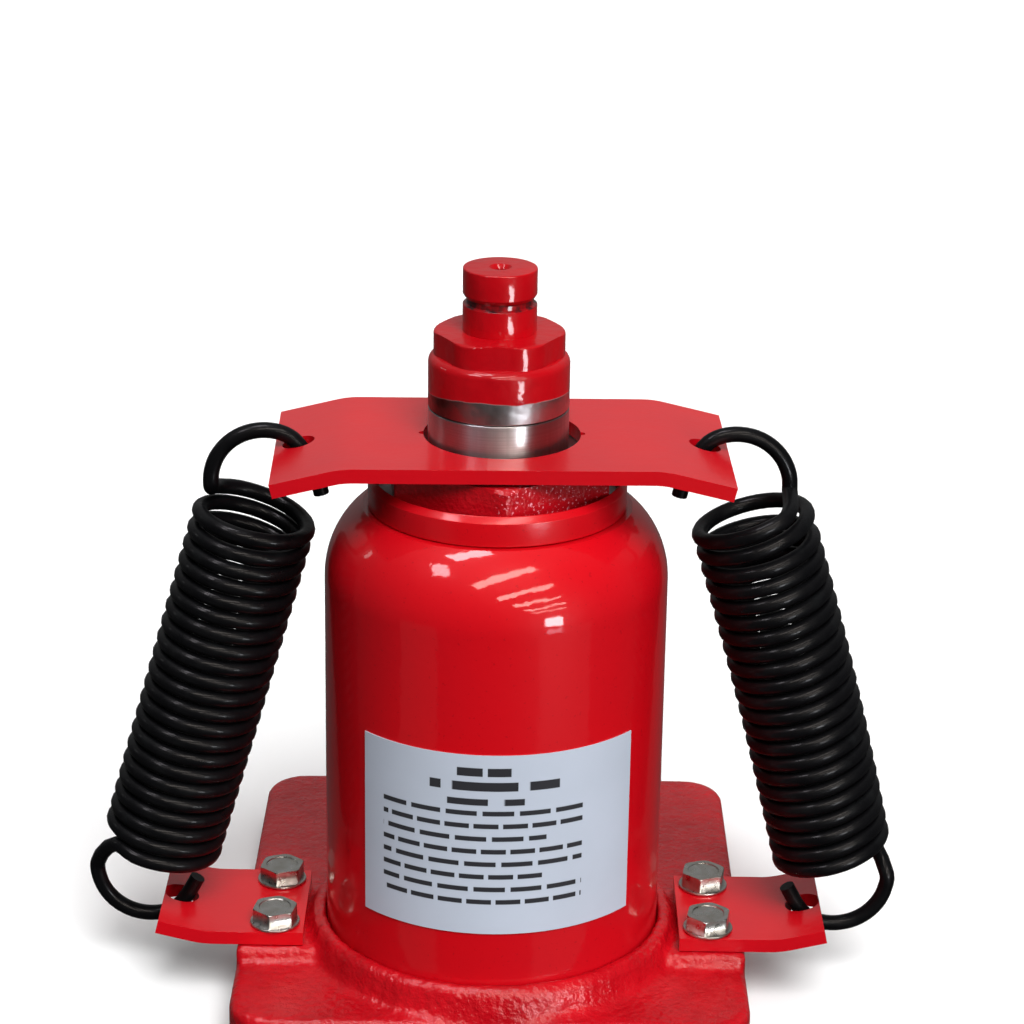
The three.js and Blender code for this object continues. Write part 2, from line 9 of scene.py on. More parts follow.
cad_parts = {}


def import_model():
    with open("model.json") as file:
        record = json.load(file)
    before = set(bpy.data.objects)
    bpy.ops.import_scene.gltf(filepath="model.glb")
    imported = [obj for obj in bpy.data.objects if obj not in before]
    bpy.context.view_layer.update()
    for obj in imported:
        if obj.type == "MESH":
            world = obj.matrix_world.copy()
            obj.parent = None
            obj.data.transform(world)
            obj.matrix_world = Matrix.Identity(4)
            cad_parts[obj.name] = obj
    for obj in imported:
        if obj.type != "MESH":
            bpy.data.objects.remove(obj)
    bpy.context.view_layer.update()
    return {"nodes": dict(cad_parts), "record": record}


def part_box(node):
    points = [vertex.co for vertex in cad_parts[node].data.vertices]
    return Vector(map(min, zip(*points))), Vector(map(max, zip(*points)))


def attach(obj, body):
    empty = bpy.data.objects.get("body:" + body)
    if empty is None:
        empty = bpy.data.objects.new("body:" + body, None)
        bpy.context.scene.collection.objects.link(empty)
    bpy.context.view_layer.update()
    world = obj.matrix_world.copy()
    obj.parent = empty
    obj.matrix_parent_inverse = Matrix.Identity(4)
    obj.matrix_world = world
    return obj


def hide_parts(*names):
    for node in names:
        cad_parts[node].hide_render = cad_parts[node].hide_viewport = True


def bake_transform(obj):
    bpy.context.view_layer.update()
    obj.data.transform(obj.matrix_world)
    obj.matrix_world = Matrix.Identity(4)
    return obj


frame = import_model()
MM = 0.001

# ---------------------------------------------------------------- places, read from the frame


def low(node):
    """A CAD node's lowest corner, in millimetres."""
    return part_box(node)[0] / MM


def high(node):
    """A CAD node's highest corner, in millimetres."""
    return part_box(node)[1] / MM


TANK_R = high("tank_shell").x
TANK_LOW, TANK_TOP = low("tank_shell").z, high("tank_shell").z
RING_R = high("tank_lock_ring").x
RING_LOW, RING_TOP = low("tank_lock_ring").z, high("tank_lock_ring").z
NUT_TOP = high("gland_nut").z
NECK_TOP = high("ram").z
NECK_R = high("head_adapter").x
STUD_TOP = high("head_adapter").z
PLATE_THICK = 4.5
PLATE_LOW = high("return_plate").z - PLATE_THICK
PUMP_Y = (low("pump_cylinder").y + high("pump_cylinder").y) / 2
EYE_Z = (low("plunger_pin").z + high("plunger_pin").z) / 2
BRACKET_LOW = low("left_spring_bracket").z

# ---------------------------------------------------------------- camera, floor and light


def camera():
    """The photograph's view: 20.3 degrees down onto the tank's upper end, rolled a little."""
    down, roll, distance = math.radians(20.28), math.radians(0.875), 0.9376
    data = bpy.data.cameras.new("camera")
    data.sensor_width = 36
    data.angle = 2 * math.atan(512 / 3000)
    item = bpy.data.objects.new("camera", data)
    bpy.context.scene.collection.objects.link(item)
    target = Vector((0.00463, 0, 0.1627))
    back = Vector((0, -math.cos(down), math.sin(down)))
    turn = (-back).to_track_quat("-Z", "Y").to_matrix().to_4x4() @ Matrix.Rotation(roll, 4, "Z")
    item.matrix_world = Matrix.Translation(target + back * distance) @ turn
    bpy.context.scene.camera = item


FLOOR_HALF = 6.0


def floor():
    """A pale floor that reflects nothing onto the object."""
    mesh = bpy.data.meshes.new("floor")
    corners = [(x * FLOOR_HALF, y * FLOOR_HALF, 0) for x, y in ((-1, -1), (1, -1), (1, 1), (-1, 1))]
    mesh.from_pydata(corners, [], [(0, 1, 2, 3)])
    item = bpy.data.objects.new("floor", mesh)
    bpy.context.scene.collection.objects.link(item)
    item.visible_glossy = False
    item.visible_diffuse = False
    surface = Surface("floor", (0.93, 0.93, 0.93), 0.9)
    surface.vary(surface.noise(3), (0.9, 0.9, 0.9))
    mesh.materials.append(surface.material)


def backdrop():
    """A pale wall all round the floor, seen by the camera alone."""
    radius, height, sides = FLOOR_HALF - 0.1, 6.0, 64
    mesh = bpy.data.meshes.new("backdrop")
    turns = [2 * math.pi * i / sides for i in range(sides)]
    points = [(radius * math.cos(turn), radius * math.sin(turn), z) for z in (0, height) for turn in turns]
    faces = [(i, (i + 1) % sides, (i + 1) % sides + sides, i + sides) for i in range(sides)]
    mesh.from_pydata(points, [], faces)
    item = bpy.data.objects.new("backdrop", mesh)
    bpy.context.scene.collection.objects.link(item)
    item.visible_glossy = False
    item.visible_diffuse = False
    item.visible_shadow = False
    surface = Surface("backdrop", (0, 0, 0), 1.0)
    surface.set("Specular IOR Level", 0.0)
    surface.set("Emission Color", (1, 1, 1, 1))
    surface.set("Emission Strength", 1.0)
    mesh.materials.append(surface.material)


GLINT_CENTRE = Vector((0, 0, 0.143))


def glint(name, azimuth, elevation, distance, size, level, roll=0.0, colour=(1, 1, 1)):
    """A lit rectangle seen only in reflections, placed by its direction from the shoulder's middle."""
    data = bpy.data.lights.new(name, "AREA")
    data.shape = "RECTANGLE"
    data.size, data.size_y = size
    data.energy = level * math.pi * size[0] * size[1]
    data.color = colour
    item = bpy.data.objects.new(name, data)
    bpy.context.scene.collection.objects.link(item)
    back = compass(azimuth, elevation)
    aim = back.to_track_quat("Z", "Y").to_matrix().to_4x4() @ Matrix.Rotation(math.radians(roll), 4, "Z")
    item.matrix_world = Matrix.Translation(GLINT_CENTRE + back * distance) @ aim
    item.visible_camera = False
    item.visible_diffuse = False


def compass(azimuth, elevation):
    """The direction at that many degrees round from the front towards +X, and above the horizon."""
    turn, rise = math.radians(azimuth), math.radians(elevation)
    return Vector((math.sin(turn) * math.cos(rise), -math.cos(turn) * math.cos(rise), math.sin(rise)))


def sun(name, azimuth, elevation, power, spread):
    """Wide, even light for diffuse surfaces alone. Azimuth 0 is the front, 90 the right."""
    data = bpy.data.lights.new(name, "SUN")
    data.energy = power
    data.angle = math.radians(spread)
    item = bpy.data.objects.new(name, data)
    bpy.context.scene.collection.objects.link(item)
    item.matrix_world = compass(azimuth, elevation).to_track_quat("Z", "Y").to_matrix().to_4x4()
    item.visible_glossy = False


def world():
    """A dim room for glossy surfaces alone, brighter high at the back."""
    sky = bpy.data.worlds.new("studio")
    bpy.context.scene.world = sky
    sky.use_nodes = True
    sky.cycles_visibility.diffuse = False
    nodes, links = sky.node_tree.nodes, sky.node_tree.links
    place = nodes.new("ShaderNodeTexCoord")
    toward = nodes.new("ShaderNodeVectorMath")
    toward.operation = "DOT_PRODUCT"
    toward.inputs[1].default_value = (0, 0.7, 0.7)
    links.new(place.outputs["Generated"], toward.inputs[0])
    ramp = nodes.new("ShaderNodeValToRGB")
    links.new(toward.outputs["Value"], ramp.inputs[0])
    stops = [(0.0, 0.04), (0.3, 0.06), (0.62, 0.16), (0.95, 0.30)]
    while len(ramp.color_ramp.elements) < len(stops):
        ramp.color_ramp.elements.new(0.5)
    for element, (position, level) in zip(ramp.color_ramp.elements, stops):
        element.position = position
        element.color = (level, level, level, 1)
    links.new(ramp.outputs[0], nodes["Background"].inputs["Color"])


def lights():
    sun("key", 16, 50, 3.5, 35)
    sun("top", 10, 80, 0.9, 60)
    sun("low", 45, 6, 1.2, 30)
    sun("fill", -60, 10, 0.2, 60)
    sun("rear", 200, 28, 1.3, 70)
    sun("rear_side", 125, 12, 0.5, 60)
    glint("window", 36, -5, 0.48, (0.096, 0.074), 26, colour=(0.92, 0.96, 1))
    glint("window_sill", 37, -14, 0.48, (0.084, 0.036), 5, colour=(0.85, 0.85, 1))
    glint("right_wall", 46, -30, 0.72, (0.42, 0.42), 0.13)
    glint("left_wall", -50, -30, 0.72, (0.30, 0.42), 0.10)
    glint("side_window", -107, 21.6, 1.2, (0.10, 0.18), 3)
    glint("skylight", -59, 75, 1.5, (0.55, 0.24), 18, 88, (1, 0.94, 1))
    glint("lamp", -50, 48, 1.4, (0.24, 0.36), 14, 35, (1, 0.94, 1))
    for i in range(5):
        near, mid = 0.5 ** i, 0.6 ** i
        size = (1.19 * 0.84 ** i, 0.20 * mid)
        glint(f"tube_{i}", 36 - 30 * near, 50 * mid, 1.5, size, 12, 33 * near, (1, 0.90, 0.82))


# ---------------------------------------------------------------- materials


class Surface:
    """A principled material that is built up a layer at a time, in object space, in metres."""

    def __init__(self, name, colour, roughness, metallic=0.0, coat=0.0, coat_roughness=0.05):
        self.material = bpy.data.materials.new(name)
        self.material.use_nodes = True
        self.nodes, self.links = self.material.node_tree.nodes, self.material.node_tree.links
        self.shader = self.nodes["Principled BSDF"]
        self.place = self.nodes.new("ShaderNodeTexCoord").outputs["Object"]
        self.set("Base Color", (*colour, 1))
        self.set("Roughness", roughness)
        self.set("Metallic", metallic)
        self.set("Coat Weight", coat)
        self.set("Coat Roughness", coat_roughness)
        if coat:
            self.set("Specular IOR Level", 0.1)

    def set(self, socket, value):
        self.shader.inputs[socket].default_value = value

    def axis(self, name):
        split = self.nodes.new("ShaderNodeSeparateXYZ")
        self.links.new(self.place, split.inputs[0])
        return split.outputs[name]

    def math(self, operation, a, b=0.0, clamp=False):
        node = self.nodes.new("ShaderNodeMath")
        node.operation = operation
        node.use_clamp = clamp
        for socket, value in zip(node.inputs, (a, b)):
            if isinstance(value, (int, float)):
                socket.default_value = value
            else:
                self.links.new(value, socket)
        return node.outputs[0]

    def noise(self, scale, detail=3.0, stretch=(1, 1, 1), low=0.0, high=1.0):
        """Noise with features about 1/scale metres across, its middle range opened to low..high."""
        mapping = self.nodes.new("ShaderNodeMapping")
        mapping.inputs["Scale"].default_value = stretch
        texture = self.nodes.new("ShaderNodeTexNoise")
        texture.inputs["Scale"].default_value = scale
        texture.inputs["Detail"].default_value = detail
        self.links.new(self.place, mapping.inputs[0])
        self.links.new(mapping.outputs[0], texture.inputs["Vector"])
        return self.remap(texture.outputs["Fac"], 0.3, 0.7, low, high)

    def remap(self, value, from_low, from_high, to_low=0.0, to_high=1.0):
        node = self.nodes.new("ShaderNodeMapRange")
        limits = {"From Min": from_low, "From Max": from_high, "To Min": to_low, "To Max": to_high}
        for socket, number in limits.items():
            node.inputs[socket].default_value = number
        self.links.new(value, node.inputs["Value"])
        return node.outputs["Result"]

    def vary(self, factor, colour):
        """The colour so far, with this one laid over it where factor is high."""
        node = self.nodes.new("ShaderNodeMix")
        node.data_type = "RGBA"
        socket = self.shader.inputs["Base Color"]
        if socket.links:
            self.links.new(socket.links[0].from_socket, node.inputs["A"])
        else:
            node.inputs["A"].default_value = socket.default_value
        node.inputs["B"].default_value = (*colour, 1)
        self.links.new(factor, node.inputs["Factor"])
        self.links.new(node.outputs["Result"], socket)

    def blend(self, socket, factor, low, high):
        self.links.new(self.remap(factor, 0, 1, low, high), self.shader.inputs[socket])

    def brushed(self):
        """Draws reflections out along Z, as tool marks that run round it do."""
        tangent = self.nodes.new("ShaderNodeTangent")
        tangent.direction_type = "RADIAL"
        tangent.axis = "Z"
        self.links.new(tangent.outputs[0], self.shader.inputs["Tangent"])
        self.set("Anisotropic", 0.85)
        self.set("Anisotropic Rotation", 0.25)

    def bump(self, height, depth):
        """Relief of about depth millimetres, on top of what is there."""
        node = self.nodes.new("ShaderNodeBump")
        node.inputs["Distance"].default_value = depth * MM
        self.links.new(height, node.inputs["Height"])
        for socket in ("Normal", "Coat Normal"):
            target = self.shader.inputs[socket]
            if target.links and socket == "Normal":
                self.links.new(target.links[0].from_socket, node.inputs["Normal"])
        for socket in ("Normal", "Coat Normal"):
            self.links.new(node.outputs["Normal"], self.shader.inputs[socket])


RED = (0.60, 0.0015, 0.006)
DARK_RED = (0.47, 0.001, 0.005)
DEEP_RED = (0.36, 0.001, 0.005)


def red_enamel(name, haze):
    """Sprayed enamel, glossy where haze is low: faint orange peel, cloudy colour and a few dust specks."""
    surface = Surface(name, RED, 0.42, coat=0.75)
    surface.vary(surface.noise(14, 4), (0.53, 0.003, 0.009))
    surface.vary(surface.noise(900, 2, low=-9.0, high=0.55), DEEP_RED)
    surface.blend("Coat Roughness", surface.noise(40, 3), haze, haze + 0.06)
    surface.bump(surface.noise(330, 1), 0.02)
    surface.bump(surface.noise(26, 2), 0.12)
    return surface.material


def plate_enamel():
    """Thinner, more satin coat over sheared plate, with faint sheet texture."""
    surface = Surface("plate_enamel", RED, 0.36, coat=0.9, coat_roughness=0.16)
    surface.vary(surface.noise(20, 4), (0.52, 0.003, 0.010))
    surface.blend("Coat Roughness", surface.noise(60, 3), 0.12, 0.24)
    surface.bump(surface.noise(500, 2), 0.02)
    surface.bump(surface.noise(40, 2), 0.10)
    return surface.material


def cast_enamel(name, depth, grain):
    """Enamel over a sand-cast skin, lumpy and grainy, as a surface that may take more layers."""
    surface = Surface(name, (0.50, 0.003, 0.009), 0.38, coat=0.7, coat_roughness=0.12)
    surface.vary(surface.noise(60, 4), DEEP_RED)
    surface.blend("Roughness", surface.noise(300, 3), 0.25, 0.55)
    surface.bump(surface.noise(grain, 4), depth)
    surface.bump(surface.noise(90, 2), depth * 1.3)
    return surface


def nut_enamel():
    """Cast enamel with painted sparkle highlights: pale flecks over its lit right half."""
    surface = cast_enamel("nut_enamel", 0.16, 800)
    # painted sparkle highlights: pale flecks laid only on the nut's lit right half
    right = surface.remap(surface.axis("X"), -0.001, 0.003)
    sparkle_highlights = surface.noise(1100, 2, low=-5.0, high=1.3)
    surface.vary(surface.math("MULTIPLY", right, sparkle_highlights, True), (0.80, 0.30, 0.36))
    return surface.material


def turned_steel(name):
    """Bright turned steel: fine rings round Z, reflections drawn out along it, and small stains."""
    colour, roughness, rings_per_metre = (0.50, 0.50, 0.51), 0.30, 2600
    surface = Surface(name, colour, roughness, metallic=1.0)
    surface.vary(surface.noise(55, 5, (1, 1, 0.25), -0.8, 0.8), tuple(c * 0.6 for c in colour))
    surface.vary(surface.noise(330, 3, (1, 1, 0.03), -0.6, 0.9), tuple(c * 0.75 for c in colour))
    surface.blend("Roughness", surface.noise(90, 3), roughness, roughness + 0.06)
    surface.vary(surface.noise(1, 3, (25, 25, rings_per_metre), -0.4, 0.8), tuple(c * 0.8 for c in colour))
    surface.brushed()
    return surface.material


def zinc_plate():
    surface = Surface("zinc_plate", (0.62, 0.62, 0.60), 0.30, metallic=1.0)
    surface.vary(surface.noise(260, 4), (0.48, 0.47, 0.42))
    surface.blend("Roughness", surface.noise(500, 3), 0.22, 0.45)
    surface.bump(surface.noise(1200, 2), 0.01)
    return surface.material


def dark_steel(name="dark_steel"):
    """Blackened machine steel with worn, brighter patches."""
    surface = Surface(name, (0.10, 0.10, 0.105), 0.42, metallic=0.9)
    surface.vary(surface.noise(180, 5, low=-0.7, high=0.9), (0.26, 0.25, 0.24))
    surface.blend("Roughness", surface.noise(240, 3), 0.32, 0.58)
    surface.bump(surface.noise(700, 3), 0.02)
    return surface.material


def spring_black():
    """Black baked enamel on spring wire, slightly dusty and scuffed."""
    surface = Surface("spring_black", (0.003, 0.003, 0.0035), 0.34, coat=0.12, coat_roughness=0.08)
    surface.vary(surface.noise(120, 5, low=-1.2, high=0.7), (0.006, 0.0065, 0.007))
    surface.blend("Roughness", surface.noise(160, 4), 0.26, 0.5)
    surface.bump(surface.noise(900, 3), 0.02)
    return surface.material


def rubber():
    surface = Surface("rubber", (0.018, 0.018, 0.018), 0.75)
    surface.vary(surface.noise(200, 4), (0.035, 0.034, 0.033))
    surface.bump(surface.noise(1500, 2), 0.02)
    return surface.material


def urethane():
    surface = Surface("urethane", (0.03, 0.07, 0.22), 0.45)
    surface.vary(surface.noise(150, 3), (0.02, 0.05, 0.16))
    surface.bump(surface.noise(1500, 2), 0.01)
    return surface.material


def copper():
    surface = Surface("copper", (0.62, 0.28, 0.15), 0.35, metallic=1.0)
    surface.vary(surface.noise(220, 4), (0.34, 0.14, 0.08))
    surface.bump(surface.noise(1200, 2), 0.01)
    return surface.material


def head_finish():
    """Enamel down to a wavy edge on the ring, bare stained steel below it, and near-black patches in the
    groove that are chipped paint and painted shade.
    """
    surface = Surface("head_finish", DARK_RED, 0.40, coat=0.6, coat_roughness=0.07)
    surface.vary(surface.noise(30, 4), (0.36, 0.001, 0.005))
    z = surface.axis("Z")
    front = surface.math("MULTIPLY", surface.math("ADD", surface.axis("Y"), 0.0219), 0.06)
    wave = surface.noise(55, 2, (1, 1, 0.2), -0.0008, 0.0008)
    edge = surface.math("SUBTRACT", surface.math("ADD", z, front), wave)
    bare = surface.remap(edge, 0.2049, 0.2045)
    stains = surface.noise(90, 5, (1, 1, 0.7), -0.6, 0.9)
    surface.vary(bare, (0.46, 0.45, 0.45))
    surface.vary(surface.math("MULTIPLY", bare, stains, True), (0.15, 0.13, 0.125))
    left = surface.remap(surface.axis("X"), -0.004, -0.017)
    surface.vary(surface.math("MULTIPLY", bare, left, True), (0.05, 0.04, 0.035))
    middle = 231.6
    away = surface.math("ABSOLUTE", surface.math("SUBTRACT", z, middle * MM))
    groove = surface.remap(surface.math("SUBTRACT", 0.0013, away), 0, 0.0003)
    # near-black patches in the groove: chipped paint, and painted shade in the recess
    groove_chips_and_shade = surface.math("MULTIPLY", groove, surface.noise(420, 4, (1, 1, 0.6), 0.1, 1.1), True)
    surface.vary(groove_chips_and_shade, (0.025, 0.010, 0.012))
    surface.blend("Metallic", surface.math("MAXIMUM", bare, surface.math("MULTIPLY", groove_chips_and_shade, 0.3)), 0.0, 1.0)
    surface.blend("Coat Weight", bare, 0.6, 0.0)
    surface.blend("Specular IOR Level", bare, 0.1, 0.5)
    surface.blend("Roughness", bare, 0.40, 0.33)
    surface.bump(surface.noise(330, 1), 0.02)
    surface.bump(surface.noise(120, 2), 0.22)
    return surface.material


def label_film():
    """Pale film with dark bars in place of print: a short heading, a longer one and rows of text."""
    surface = Surface("label_film", (0.49, 0.54, 0.63), 0.32, coat=0.3, coat_roughness=0.15)
    surface.vary(surface.noise(30, 3), (0.53, 0.58, 0.68))
    angle = surface.math("ARCTAN2", surface.axis("X"), surface.math("MULTIPLY", surface.axis("Y"), -1))
    along = surface.math("MULTIPLY", angle, TANK_R * MM)
    z = surface.axis("Z")
    # each row: its middle along the arc, mm below the top, half length, thickness and words per metre
    rows = [(-0.0026, 5.6, 0.0084, 0.0030, 100), (0.0007, 10.4, 0.0203, 0.0032, 42)]
    rows += [(-0.002, 15.6, 0.0120, 0.0024, 30)]
    for i in range(8):
        short = 0.006 * (i % 3 == 2)
        rows.append((-0.0035 - short, 19.4 + 4.3 * i, 0.0325 - short, 0.0018, 88 + 23 * (i % 2)))
    for index, (middle, below, half, tall, words) in enumerate(rows):
        height = (high("front_label").z - below) * MM
        beside = surface.math("ABSOLUTE", surface.math("SUBTRACT", along, middle))
        inside = surface.remap(beside, half, half - 0.0002)
        above = surface.math("ABSOLUTE", surface.math("SUBTRACT", z, height))
        bar = surface.math("MULTIPLY", inside, surface.remap(above, tall / 2, tall / 2 - 0.0002), True)
        count = surface.math("ADD", surface.math("MULTIPLY", along, words), 7.3 + 0.37 * index)
        gaps = surface.remap(surface.math("FRACT", count), 0.14, 0.16)
        surface.vary(surface.math("MULTIPLY", bar, gaps, True), (0.03, 0.03, 0.035))
    surface.bump(surface.noise(700, 2), 0.008)
    return surface.material


# ---------------------------------------------------------------- mesh tools


def link(name, mesh, material, angle=32.0):
    """A scene object of the mesh, smooth but for edges sharper than angle."""
    item = bpy.data.objects.new(name, mesh)
    bpy.context.scene.collection.objects.link(item)
    mesh.materials.clear()
    mesh.materials.append(material)
    mesh.shade_smooth()
    mesh.set_sharp_from_angle(angle=math.radians(angle))
    return item


def build(name, points, faces, material, angle=32.0):
    """A mesh object from millimetre points."""
    mesh = bpy.data.meshes.new(name)
    mesh.from_pydata([tuple(c * MM for c in point) for point in points], [], faces)
    tidy = bmesh.new()
    tidy.from_mesh(mesh)
    bmesh.ops.remove_doubles(tidy, verts=tidy.verts, dist=1e-7)
    bmesh.ops.recalc_face_normals(tidy, faces=tidy.faces)
    tidy.to_mesh(mesh)
    tidy.free()
    return link(name, mesh, material, angle)


ARC_STEPS = 5


def rounded(outline):
    """The closed outline with an arc at each corner given as (r, z, radius)."""
    points = []
    for i, corner in enumerate(outline):
        here = Vector(corner[:2])
        radius = corner[2] if len(corner) > 2 else 0
        if not radius:
            points.append(here)
            continue
        before = (Vector(outline[i - 1][:2]) - here).normalized()
        after = (Vector(outline[(i + 1) % len(outline)][:2]) - here).normalized()
        half = before.angle(after) / 2
        centre = here + (before + after).normalized() * (radius / math.sin(half))
        start, end = before * (radius / math.tan(half)), after * (radius / math.tan(half))
        first = math.atan2(*(here + start - centre).yx)
        last = math.atan2(*(here + end - centre).yx)
        sweep = (last - first + math.pi) % (2 * math.pi) - math.pi
        for step in range(ARC_STEPS + 1):
            turn = first + sweep * step / ARC_STEPS
            points.append(centre + radius * Vector((math.cos(turn), math.sin(turn))))
    return points


def hexagon_limit(flats, corner, turn=0.0):
    """Radius of a hexagon with rounded corners, for each angle."""
    apothem, half = flats / 2, math.radians(30)
    reach = (apothem - corner) / math.cos(half)
    arc_end = math.atan2(corner * math.sin(half), reach + corner * math.cos(half))

    def limit(angle):
        near = half - abs((angle - turn) % (2 * half) - half)
        if near >= arc_end:
            return apothem / math.cos(half - near)
        return reach * math.cos(near) + math.sqrt(corner ** 2 - (reach * math.sin(near)) ** 2)

    return limit


def turned(name, outline, material, facets=96, limit=None, angle=32.0):
    """A piece turned about Z from an (r, z) outline, cut back to limit(angle) if given."""
    profile = rounded(outline)
    points, faces = [], []
    for i in range(facets):
        turn = 2 * math.pi * i / facets
        edge = limit(turn) if limit else 1e9
        for r, z in profile:
            radius = min(r, edge)
            points.append((radius * math.cos(turn), radius * math.sin(turn), z))
    count = len(profile)
    for i in range(facets):
        for k in range(count):
            a, b = i * count + k, i * count + (k + 1) % count
            c, d = ((i + 1) % facets) * count + (k + 1) % count, ((i + 1) % facets) * count + k
            if max(profile[k].x, profile[(k + 1) % count].x) > 1e-6:
                faces.append((a, b, c, d))
    return build(name, points, faces, material, angle)


def placed(item, x=0.0, y=0.0, z=0.0, about=None, degrees=0.0):
    """Turns a mesh about an axis and moves it, in its own vertices."""
    turn = Matrix.Rotation(math.radians(degrees), 4, about) if about else Matrix.Identity(4)
    item.data.transform(Matrix.Translation(Vector((x, y, z)) * MM) @ turn)
    item.data.update()
    return item


def applied(item):
    """The item with its modifiers made part of its mesh."""
    graph = bpy.context.evaluated_depsgraph_get()
    mesh = bpy.data.meshes.new_from_object(item.evaluated_get(graph))
    old = item.data
    item.modifiers.clear()
    item.data = mesh
    bpy.data.meshes.remove(old)
    return item


def joined(item, *others, operation="UNION"):
    """The item with the others added to it, or cut from it, one after another."""
    for other in others:
        step = item.modifiers.new(operation.lower(), "BOOLEAN")
        step.operation = operation
        step.solver = "EXACT"
        step.object = other
    applied(item)
    for other in others:
        bpy.data.objects.remove(other, do_unlink=True)
    return item


def softened(item, width, angle=32.0, segments=3):
    """Small rounded edges."""
    step = item.modifiers.new("edges", "BEVEL")
    step.width = width * MM
    step.segments = segments
    step.limit_method = "ANGLE"
    step.angle_limit = math.radians(angle)
    step.harden_normals = True
    return item


def rod(name, radius, start, end, material, axis="Z", facets=64):
    """A plain round bar along an axis, for cutting holes and for joining to others."""
    item = turned(name, [(0, start), (radius, start), (radius, end), (0, end)], material, facets)
    if axis == "X":
        placed(item, about="Y", degrees=90)
    if axis == "Y":
        placed(item, about="X", degrees=-90)
    return item


def stands_for(item, node, body):
    """The item takes a CAD node's place on its body."""
    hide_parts(node)
    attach(item, body)
    return item


# ---------------------------------------------------------------- tank, ring and nut

SHOULDER_WIDE, SHOULDER_TALL, SHOULDER_START = 24.0, 27.5, TANK_TOP - 23.7
TANK_WALL, TANK_BORE = 3.0, 37.5


def shoulder(inset, steps, end):
    """The tank's oval shoulder, as (r, z) from the wall up to height end."""
    wide, tall = SHOULDER_WIDE - inset, SHOULDER_TALL - inset
    last = math.asin((end - SHOULDER_START) / tall)
    turns = [last * i / steps for i in range(steps + 1)]
    inner = TANK_R - SHOULDER_WIDE
    return [(inner + wide * math.cos(t), SHOULDER_START + tall * math.sin(t)) for t in turns]


def tank():
    """A tube drawn in at the top, with a hole for the filler plug at the back."""
    under = TANK_TOP - TANK_WALL
    outline = [(TANK_R, TANK_LOW), *shoulder(0, 26, TANK_TOP), (TANK_BORE, TANK_TOP), (TANK_BORE, under)]
    outline += [*reversed(shoulder(TANK_WALL, 10, under)), (TANK_R - TANK_WALL, TANK_LOW)]
    item = turned("tank", outline, red_enamel("tank_enamel", 0.03), 160)
    hole = rod("filler_hole", 4.6, 30, 80, item.active_material, "Y")
    placed(hole, z=(low("filler_plug").z + high("filler_plug").z) / 2)
    joined(item, hole, operation="DIFFERENCE")
    stands_for(item, "tank_shell", "root")


def lock_ring():
    """A ring with a bevelled top edge and a recess for the gland nut."""
    recess, bore = 38.45, 37.3
    outline = [(bore, RING_LOW), (RING_R, RING_LOW, 0.5), (RING_R, RING_TOP - 1.9, 0.6),
               (RING_R - 1.5, RING_TOP, 0.35), (recess, RING_TOP, 0.15), (recess, RING_TOP - 4.4),
               (bore, RING_TOP - 4.4)]
    stands_for(turned("lock_ring", outline, red_enamel("ring_enamel", 0.16), 160), "tank_lock_ring", "root")


def gland_nut():
    """A hexagon with a turned top and a spigot that reaches into the tank."""
    base, spigot = NUT_TOP - 11.7, low("gland_nut").z
    outline = [(27.9, spigot), (29.9, spigot), (29.9, base), (38, base, 0.4), (38, NUT_TOP - 1.3, 0.5),
               (35.6, NUT_TOP, 0.4), (31.1, NUT_TOP, 0.3), (31.1, NUT_TOP - 3.7), (27.9, NUT_TOP - 3.7)]
    limit = hexagon_limit(66.0, 1.2, math.radians(4.5 + 30))
    item = turned("gland_nut_cast", outline, nut_enamel(), 240, limit, 28)
    stands_for(item, "gland_nut", "root")


# ---------------------------------------------------------------- ram, head and plate


def ram():
    """A ground rod with a smaller neck that carries the return plate and the head."""
    foot, step = low("ram").z, PLATE_LOW - 0.3
    outline = [(0, foot), (11, foot, 0.5), (11, 32), (27.5, 32, 0.4), (27.5, step, 0.8), (NECK_R, step),
               (NECK_R, NECK_TOP, 0.35), (8.7, NECK_TOP), (8.7, 178), (0, 178)]
    stands_for(turned("ram_rod", outline, turned_steel("ram_steel"), 128), "ram", "ram")


def head():
    """Ring, chamfered hexagon and grooved stud, one screwed-in piece."""
    material = head_finish()
    ring_top, hex_top, stud = 214.8, 222.1, 11.4
    foot = low("head_adapter").z
    ring = turned("head", [(0, foot), (8.3, foot), (8.3, NECK_TOP + 0.3), (NECK_R, NECK_TOP + 0.3, 0.35),
                           (NECK_R, ring_top, 2.6), (16, ring_top), (0, ring_top)], material, 144)
    outline = [(0, ring_top - 1), (20.4, ring_top - 1), (20.4, hex_top, 1.3), (0, hex_top)]
    block = turned("head_hexagon", outline, material, 240, hexagon_limit(38.0, 11))
    outline = [(0, hex_top - 1), (stud, hex_top - 1), (stud, 230.6, 0.3), (10.3, 230.9), (10.3, 232.3),
               (stud, 233.9, 0.4), (stud, STUD_TOP, 0.45), (3.5, STUD_TOP, 0.3), (2.5, STUD_TOP - 1.3),
               (2.5, 234), (0, 232.6)]
    pin = turned("head_stud", outline, material, 128)
    item = joined(ring, block, pin)
    item.data.shade_smooth()
    item.data.set_sharp_from_angle(angle=math.radians(32))
    stands_for(item, "head_adapter", "ram")


